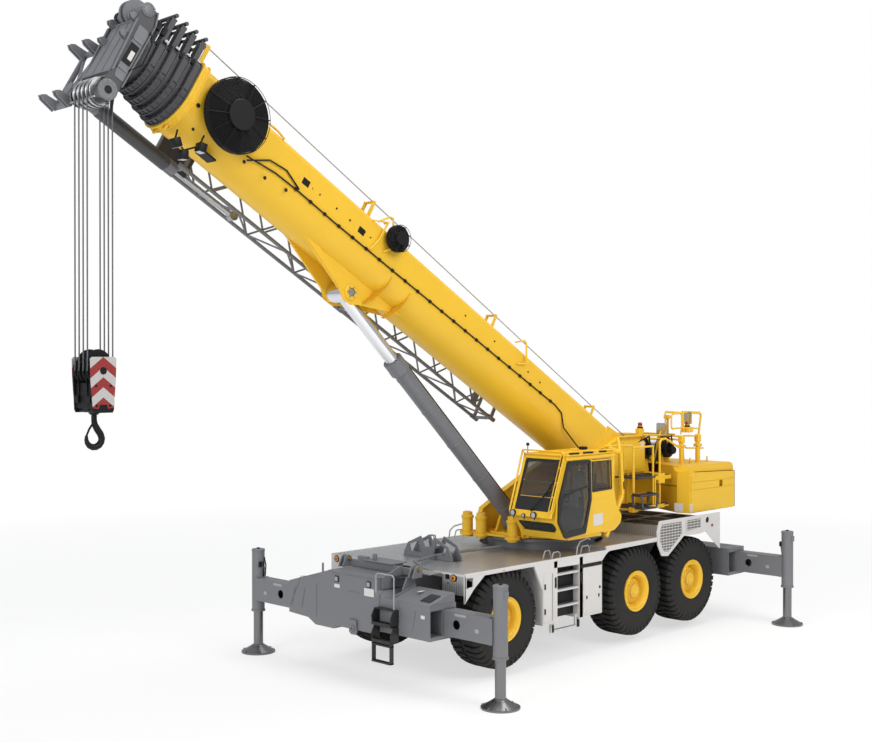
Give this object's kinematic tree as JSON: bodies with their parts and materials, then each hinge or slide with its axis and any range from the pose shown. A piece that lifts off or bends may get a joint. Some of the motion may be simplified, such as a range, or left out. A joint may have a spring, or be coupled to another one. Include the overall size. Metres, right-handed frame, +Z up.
{
  "type": "mobile crane",
  "caption": "Mobile telescopic crane on steered off-road wheels and outriggers, with slewing superstructure, side cab, lift cylinder, hook block, winches and a stowed fly jib.",
  "frame": {"origin": "ground level under the middle of the overall length and width, as it stands on its outriggers", "axes": "X forward along the boom, Y to the machine's left where the cab is, Z up"},
  "size_m": [14.8674, 6.3978, 10.6312],
  "materials": {
    "yellow_paint": "semi-gloss machine yellow",
    "grey_paint": "satin grey carrier paint",
    "white_paint": "satin off-white, checker plate on top",
    "dark_paint": "satin dark grey",
    "black_paint": "satin black",
    "tyre_rubber": "matte black rubber",
    "steel_pin": "machined steel",
    "chrome_rod": "polished chrome",
    "wire_rope": "greased wire rope",
    "window_glass": "dark tinted glass",
    "seat_cover": "black seat cover"
  },
  "bodies": {
    "carrier": {"chassis_frame": "grey_paint", "outrigger_boxes": "grey_paint", "deck_and_fenders": "white_paint", "step_lockers_left": "white_paint", "step_lockers_right": "white_paint", "engine_block": "dark_paint", "axles": "grey_paint"},
    "turntable": {"turntable_frame": "yellow_paint", "counterweight": "yellow_paint", "cab_shell": "yellow_paint", "cab_windows": "window_glass", "cab_interior": "seat_cover", "boom_foot_pin": "steel_pin", "lift_cylinder_pin": "steel_pin"},
    "cab_door": {"cab_door": "yellow_paint", "cab_door_glass": "window_glass"},
    "main_winch": {"main_winch_drum": "black_paint"},
    "aux_winch": {"aux_winch_drum": "black_paint"},
    "boom": {"boom_base": "yellow_paint", "swingaway_jib": "grey_paint"},
    "section_2": {"boom_section_2": "dark_paint"},
    "section_3": {"boom_section_3": "dark_paint"},
    "section_4": {"boom_section_4": "dark_paint"},
    "section_5": {"boom_section_5": "dark_paint"},
    "head": {"boom_head_section": "dark_paint"},
    "nose_sheave_set": {"nose_sheaves": "black_paint"},
    "top_sheave_set": {"top_sheaves": "black_paint"},
    "falls": {"hoist_falls": "wire_rope"},
    "block": {"hook_block": "black_paint"},
    "hook": {"hook": "black_paint"},
    "hose_reel": {"hose_reel": "black_paint"},
    "cable_reel": {"cable_reel": "black_paint"},
    "cylinder_barrel": {"lift_barrel": "grey_paint"},
    "cylinder_rod": {"lift_rod": "chrome_rod"},
    "knuckle_1_left": {"knuckle_1_left": "grey_paint"},
    "wheel_1_left": {"tyre_1_left": "tyre_rubber", "rim_1_left": "yellow_paint"},
    "knuckle_2_left": {"knuckle_2_left": "grey_paint"},
    "wheel_2_left": {"tyre_2_left": "tyre_rubber", "rim_2_left": "yellow_paint"},
    "knuckle_3_left": {"knuckle_3_left": "grey_paint"},
    "wheel_3_left": {"tyre_3_left": "tyre_rubber", "rim_3_left": "yellow_paint"},
    "beam_front_left": {"outrigger_beam_front_left": "grey_paint"},
    "jack_front_left": {"outrigger_jack_front_left": "steel_pin"},
    "beam_rear_left": {"outrigger_beam_rear_left": "grey_paint"},
    "jack_rear_left": {"outrigger_jack_rear_left": "steel_pin"},
    "knuckle_1_right": {"knuckle_1_right": "grey_paint"},
    "wheel_1_right": {"tyre_1_right": "tyre_rubber", "rim_1_right": "yellow_paint"},
    "knuckle_2_right": {"knuckle_2_right": "grey_paint"},
    "wheel_2_right": {"tyre_2_right": "tyre_rubber", "rim_2_right": "yellow_paint"},
    "knuckle_3_right": {"knuckle_3_right": "grey_paint"},
    "wheel_3_right": {"tyre_3_right": "tyre_rubber", "rim_3_right": "yellow_paint"},
    "beam_front_right": {"outrigger_beam_front_right": "grey_paint"},
    "jack_front_right": {"outrigger_jack_front_right": "steel_pin"},
    "beam_rear_right": {"outrigger_beam_rear_right": "grey_paint"},
    "jack_rear_right": {"outrigger_jack_rear_right": "steel_pin"}
  },
  "joints": [
    {"name": "slew", "type": "hinge", "parent": "carrier", "child": "turntable", "pos_m": [-2.68774, 0, 2.09], "axis": [0, 0, 1], "continuous": true},
    {"name": "boom_luff", "type": "hinge", "parent": "turntable", "child": "boom", "pos_m": [-4.93774, 0, 3.585], "axis": [0, -1, 0], "range_deg": [-1.5, 50]},
    {"name": "telescope", "type": "slide", "parent": "boom", "child": "section_2", "axis": [0.866, 0, 0.5], "range_m": [0, 9.8]},
    {"name": "telescope_2", "type": "slide", "parent": "section_2", "child": "section_3", "axis": [0.866, 0, 0.5], "range_m": [0, 9.8]},
    {"name": "telescope_3", "type": "slide", "parent": "section_3", "child": "section_4", "axis": [0.866, 0, 0.5], "range_m": [0, 9.8]},
    {"name": "telescope_4", "type": "slide", "parent": "section_4", "child": "section_5", "axis": [0.866, 0, 0.5], "range_m": [0, 9.8]},
    {"name": "telescope_5", "type": "slide", "parent": "section_5", "child": "head", "axis": [0.866, 0, 0.5], "range_m": [0, 9.8]},
    {"name": "nose_sheave_spin", "type": "hinge", "parent": "head", "child": "nose_sheave_set", "pos_m": [7.1321, 0, 9.17943], "axis": [0, -1, 0], "continuous": true},
    {"name": "top_sheave_spin", "type": "hinge", "parent": "head", "child": "top_sheave_set", "pos_m": [6.4729, 0, 10.4212], "axis": [0, -1, 0], "continuous": true},
    {"name": "plumb", "type": "hinge", "parent": "head", "child": "falls", "pos_m": [7.1321, 0, 9.17943], "axis": [0, -1, 0], "range_deg": [-50, 1.5]},
    {"name": "hook_hoist", "type": "slide", "parent": "falls", "child": "block", "axis": [0, 0, -1], "range_m": [-3.2, 0], "deforming": ["hoist_falls"]},
    {"name": "hook_swivel", "type": "hinge", "parent": "block", "child": "hook", "pos_m": [7.1321, 0, 4.64], "axis": [0, 0, 1], "continuous": true},
    {"name": "hose_reel_spin", "type": "hinge", "parent": "boom", "child": "hose_reel", "pos_m": [5.09593, 0.6, 9.06617], "axis": [0, -1, 0], "continuous": true},
    {"name": "cable_reel_spin", "type": "hinge", "parent": "boom", "child": "cable_reel", "pos_m": [1.76896, 0.6, 7.46866], "axis": [0, -1, 0], "continuous": true},
    {"name": "cylinder_swing", "type": "hinge", "parent": "turntable", "child": "cylinder_barrel", "pos_m": [-1.90674, 0, 2.334], "axis": [0, -1, 0], "range_deg": [-1.49, 49.66]},
    {"name": "rod_extend", "type": "slide", "parent": "cylinder_barrel", "child": "cylinder_rod", "axis": [0.7233, 0, 0.6905], "range_m": [-0.08314, 2.77119]},
    {"name": "main_winch_spin", "type": "hinge", "parent": "turntable", "child": "main_winch", "pos_m": [-5.52274, 0, 3.54], "axis": [0, -1, 0], "continuous": true},
    {"name": "aux_winch_spin", "type": "hinge", "parent": "turntable", "child": "aux_winch", "pos_m": [-6.33774, 0, 3.52], "axis": [0, -1, 0], "continuous": true},
    {"name": "cab_door_slide", "type": "slide", "parent": "turntable", "child": "cab_door", "axis": [-1, 0, 0], "range_m": [0, 0.75]},
    {"name": "steer_1_left", "type": "hinge", "parent": "carrier", "child": "knuckle_1_left", "pos_m": [0.23226, 1.15, 0.985], "axis": [0, 0, 1], "range_deg": [-18, 18]},
    {"name": "wheel_spin_1_left", "type": "hinge", "parent": "knuckle_1_left", "child": "wheel_1_left", "pos_m": [0.23226, 1.352, 0.985], "axis": [0, 1, 0], "continuous": true},
    {"name": "steer_2_left", "type": "hinge", "parent": "carrier", "child": "knuckle_2_left", "pos_m": [-3.56774, 1.15, 0.985], "axis": [0, 0, 1], "range_deg": [-12, 12]},
    {"name": "wheel_spin_2_left", "type": "hinge", "parent": "knuckle_2_left", "child": "wheel_2_left", "pos_m": [-3.56774, 1.352, 0.985], "axis": [0, 1, 0], "continuous": true},
    {"name": "steer_3_left", "type": "hinge", "parent": "carrier", "child": "knuckle_3_left", "pos_m": [-5.47774, 1.15, 0.985], "axis": [0, 0, 1], "range_deg": [-12, 12]},
    {"name": "wheel_spin_3_left", "type": "hinge", "parent": "knuckle_3_left", "child": "wheel_3_left", "pos_m": [-5.47774, 1.352, 0.985], "axis": [0, 1, 0], "continuous": true},
    {"name": "steer_1_right", "type": "hinge", "parent": "carrier", "child": "knuckle_1_right", "pos_m": [0.23226, -1.15, 0.985], "axis": [0, 0, 1], "range_deg": [-18, 18]},
    {"name": "wheel_spin_1_right", "type": "hinge", "parent": "knuckle_1_right", "child": "wheel_1_right", "pos_m": [0.23226, -1.352, 0.985], "axis": [0, 1, 0], "continuous": true},
    {"name": "steer_2_right", "type": "hinge", "parent": "carrier", "child": "knuckle_2_right", "pos_m": [-3.56774, -1.15, 0.985], "axis": [0, 0, 1], "range_deg": [-12, 12]},
    {"name": "wheel_spin_2_right", "type": "hinge", "parent": "knuckle_2_right", "child": "wheel_2_right", "pos_m": [-3.56774, -1.352, 0.985], "axis": [0, 1, 0], "continuous": true},
    {"name": "steer_3_right", "type": "hinge", "parent": "carrier", "child": "knuckle_3_right", "pos_m": [-5.47774, -1.15, 0.985], "axis": [0, 0, 1], "range_deg": [-12, 12]},
    {"name": "wheel_spin_3_right", "type": "hinge", "parent": "knuckle_3_right", "child": "wheel_3_right", "pos_m": [-5.47774, -1.352, 0.985], "axis": [0, 1, 0], "continuous": true},
    {"name": "outrigger_front_left", "type": "slide", "parent": "carrier", "child": "beam_front_left", "axis": [0, 1, 0], "range_m": [-0.95, 0.95]},
    {"name": "jack_front_left", "type": "slide", "parent": "beam_front_left", "child": "jack_front_left", "axis": [0, 0, -1], "range_m": [-0.6, 0.1]},
    {"name": "outrigger_front_right", "type": "slide", "parent": "carrier", "child": "beam_front_right", "axis": [0, -1, 0], "range_m": [-0.95, 0.95]},
    {"name": "jack_front_right", "type": "slide", "parent": "beam_front_right", "child": "jack_front_right", "axis": [0, 0, -1], "range_m": [-0.6, 0.1]},
    {"name": "outrigger_rear_left", "type": "slide", "parent": "carrier", "child": "beam_rear_left", "axis": [0, 1, 0], "range_m": [-0.95, 0.95]},
    {"name": "jack_rear_left", "type": "slide", "parent": "beam_rear_left", "child": "jack_rear_left", "axis": [0, 0, -1], "range_m": [-0.6, 0.1]},
    {"name": "outrigger_rear_right", "type": "slide", "parent": "carrier", "child": "beam_rear_right", "axis": [0, -1, 0], "range_m": [-0.95, 0.95]},
    {"name": "jack_rear_right", "type": "slide", "parent": "beam_rear_right", "child": "jack_rear_right", "axis": [0, 0, -1], "range_m": [-0.6, 0.1]}
  ],
  "couplings": [
    {"joint": "telescope_2", "follows": "telescope", "ratio": 1},
    {"joint": "telescope_3", "follows": "telescope", "ratio": 1},
    {"joint": "telescope_4", "follows": "telescope", "ratio": 1},
    {"joint": "telescope_5", "follows": "telescope", "ratio": 1},
    {"joint": "plumb", "follows": "boom_luff", "ratio": -1},
    {"joint": "cylinder_swing", "follows": "boom_luff", "ratio": 0.99314},
    {"joint": "rod_extend", "follows": "boom_luff", "m_per_rad": 3.1756},
    {"joint": "steer_1_right", "follows": "steer_1_left", "ratio": 1},
    {"joint": "steer_2_right", "follows": "steer_2_left", "ratio": 1},
    {"joint": "steer_3_left", "follows": "steer_2_left", "ratio": 1},
    {"joint": "steer_3_right", "follows": "steer_2_left", "ratio": 1}
  ]
}
